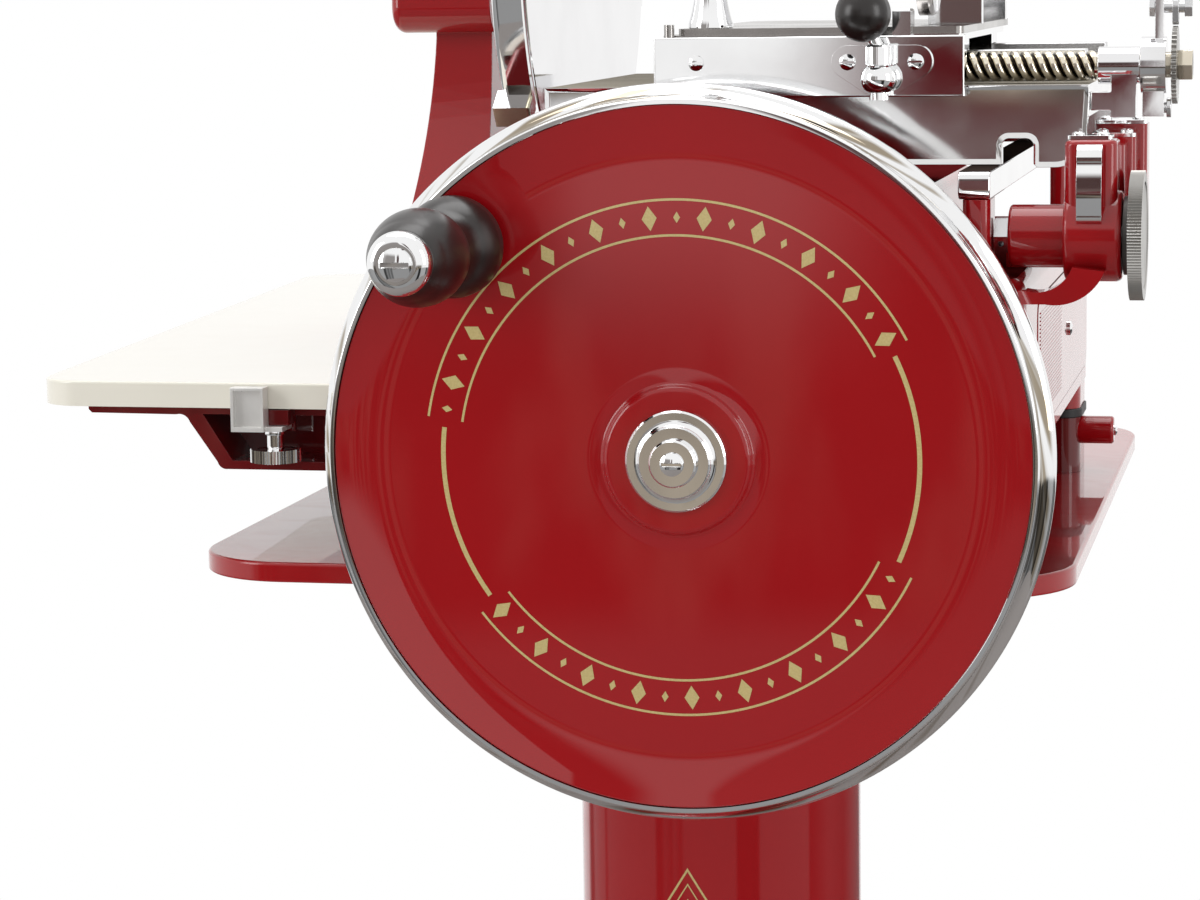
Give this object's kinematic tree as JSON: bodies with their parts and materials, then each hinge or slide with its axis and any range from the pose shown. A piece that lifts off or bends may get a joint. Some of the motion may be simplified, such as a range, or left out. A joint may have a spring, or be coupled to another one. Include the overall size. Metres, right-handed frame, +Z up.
{
  "type": "hand crank meat slicer",
  "caption": "Hand crank flywheel meat slicer on a round cast pedestal, with red enamel castings, chromed rim, sliding carriage and cream slice tray.",
  "frame": {"origin": "on the floor under the axis of the round pedestal", "axes": "+Z up, -Y towards the person at the crank, +X to that person's right"},
  "size_m": [0.69, 0.8555, 1.415],
  "materials": {
    "red_enamel": "deep glossy enamel",
    "chrome": "polished chrome plate",
    "polished_alloy": "hand polished casting",
    "bright_steel": "bright turned steel",
    "knurled_steel": "satin, finely knurled edge",
    "blade_steel": "mirror polish with fine turning lines",
    "cast_iron": "oiled dark iron",
    "rubber": "matt black rubber",
    "dark_grip": "brown-black, polished",
    "cream_enamel": "cream enamel",
    "bronze": "turned bronze",
    "grey_stone": "matt abrasive stone"
  },
  "bodies": {
    "frame": {"pedestal_foot": "red_enamel", "pedestal_column": "red_enamel", "base_plate": "red_enamel", "base_bolts": "bright_steel", "body_feet": "red_enamel", "foot_bands": "rubber", "side_panel": "red_enamel", "main_body": "red_enamel", "housing_screws": "chrome", "shaft_bushes": "bronze", "sump_pan": "cast_iron", "square_rail": "chrome", "round_rail": "chrome", "rail_posts": "red_enamel", "blade_upright": "red_enamel", "barrel_cap": "chrome", "blade_guard": "chrome", "drive_chain": "cast_iron", "adjuster_housing": "red_enamel", "adjuster_caps": "chrome", "tray_bracket": "red_enamel", "slice_tray": "cream_enamel", "tray_clip": "bright_steel"},
    "flywheel": {"flywheel_disc": "red_enamel", "flywheel_rim": "chrome", "hub_cap": "chrome", "flywheel_shaft": "bright_steel", "wheel_gear": "cast_iron"},
    "handle": {"crank_handle": "dark_grip", "handle_cap": "chrome"},
    "cross_drive": {"cross_shaft": "bright_steel", "cross_gear": "cast_iron", "drive_sprocket": "cast_iron"},
    "blade_assembly": {"blade": "blade_steel", "blade_screws": "bright_steel", "blade_clamp": "bright_steel", "blade_shaft": "bright_steel", "blade_sprocket": "cast_iron"},
    "rocker": {"rocker_lever": "cast_iron"},
    "carriage_assembly": {"carriage": "polished_alloy", "table_guides": "polished_alloy", "screw_bearings": "polished_alloy"},
    "feed_screw": {"lead_screw": "bright_steel", "ratchet_wheel": "knurled_steel"},
    "feed_arm_assembly": {"feed_arm": "polished_alloy", "feed_pawl": "bright_steel"},
    "meat_table_assembly": {"meat_table": "polished_alloy", "table_screws": "chrome", "lever_bracket": "chrome", "meat_backrest": "polished_alloy", "press_post": "chrome"},
    "nut_lever_assembly": {"nut_lever": "chrome", "lever_knob": "dark_grip"},
    "meat_press": {"press_arm": "chrome", "press_knob": "chrome"},
    "dial": {"thickness_dial": "knurled_steel", "dial_spindle": "bright_steel"},
    "tray_thumbscrew": {"tray_screw": "chrome"},
    "sharpener": {"sharpener_head": "chrome", "sharpening_stones": "grey_stone"}
  },
  "joints": [
    {"name": "flywheel_spin", "type": "hinge", "parent": "frame", "child": "flywheel", "pos_m": [0.034, 0, 0.881], "axis": [0, 1, 0], "continuous": true},
    {"name": "handle_spin", "type": "hinge", "parent": "flywheel", "child": "handle", "pos_m": [-0.085, -0.36, 0.9955], "axis": [0, 1, 0], "continuous": true},
    {"name": "cross_shaft_spin", "type": "hinge", "parent": "frame", "child": "cross_drive", "pos_m": [0, 0.03, 0.881], "axis": [1, 0, 0], "continuous": true},
    {"name": "blade_spin", "type": "hinge", "parent": "frame", "child": "blade_assembly", "pos_m": [-0.085, 0.03, 1.165], "axis": [1, 0, 0], "continuous": true},
    {"name": "rocker_swing", "type": "hinge", "parent": "frame", "child": "rocker", "pos_m": [0.095, 0.03, 0.833], "axis": [1, 0, 0], "range_deg": [-60.8, 0.4]},
    {"name": "carriage_slide", "type": "slide", "parent": "frame", "child": "carriage_assembly", "axis": [0, 1, 0], "range_m": [0, 0.22]},
    {"name": "cross_feed", "type": "slide", "parent": "carriage_assembly", "child": "meat_table_assembly", "axis": [1, 0, 0], "range_m": [-0.085, 0.045]},
    {"name": "screw_turn", "type": "hinge", "parent": "carriage_assembly", "child": "feed_screw", "pos_m": [0.1, -0.186, 1.085], "axis": [1, 0, 0], "range_deg": [-1710, 910]},
    {"name": "feed_arm_swing", "type": "hinge", "parent": "carriage_assembly", "child": "feed_arm_assembly", "pos_m": [0.277, -0.186, 1.085], "axis": [1, 0, 0], "range_deg": [-15, 25]},
    {"name": "nut_lever_turn", "type": "hinge", "parent": "meat_table_assembly", "child": "nut_lever_assembly", "pos_m": [0.1336, -0.234, 1.08], "axis": [0, 1, 0], "range_deg": [0, 45]},
    {"name": "press_slide", "type": "slide", "parent": "meat_table_assembly", "child": "meat_press", "axis": [0, 0, 1], "range_m": [-0.1, 0.028]},
    {"name": "dial_turn", "type": "hinge", "parent": "frame", "child": "dial", "pos_m": [0.27, -0.238, 0.9965], "axis": [1, 0, 0], "range_deg": [0, 300]},
    {"name": "tray_screw_turn", "type": "hinge", "parent": "frame", "child": "tray_thumbscrew", "pos_m": [-0.2098, -0.241, 0.873], "axis": [0, 0, 1], "range_deg": [-180, 180]},
    {"name": "sharpener_slide", "type": "slide", "parent": "frame", "child": "sharpener", "axis": [0, 0, 1], "range_m": [-0.006, 0.003]}
  ],
  "couplings": [
    {"joint": "cross_shaft_spin", "follows": "flywheel_spin", "ratio": -1},
    {"joint": "blade_spin", "follows": "flywheel_spin", "ratio": -3},
    {"joint": "rocker_swing", "follows": "carriage_slide", "rad_per_m": -4.7917},
    {"joint": "screw_turn", "follows": "cross_feed", "rad_per_m": 349.07}
  ]
}
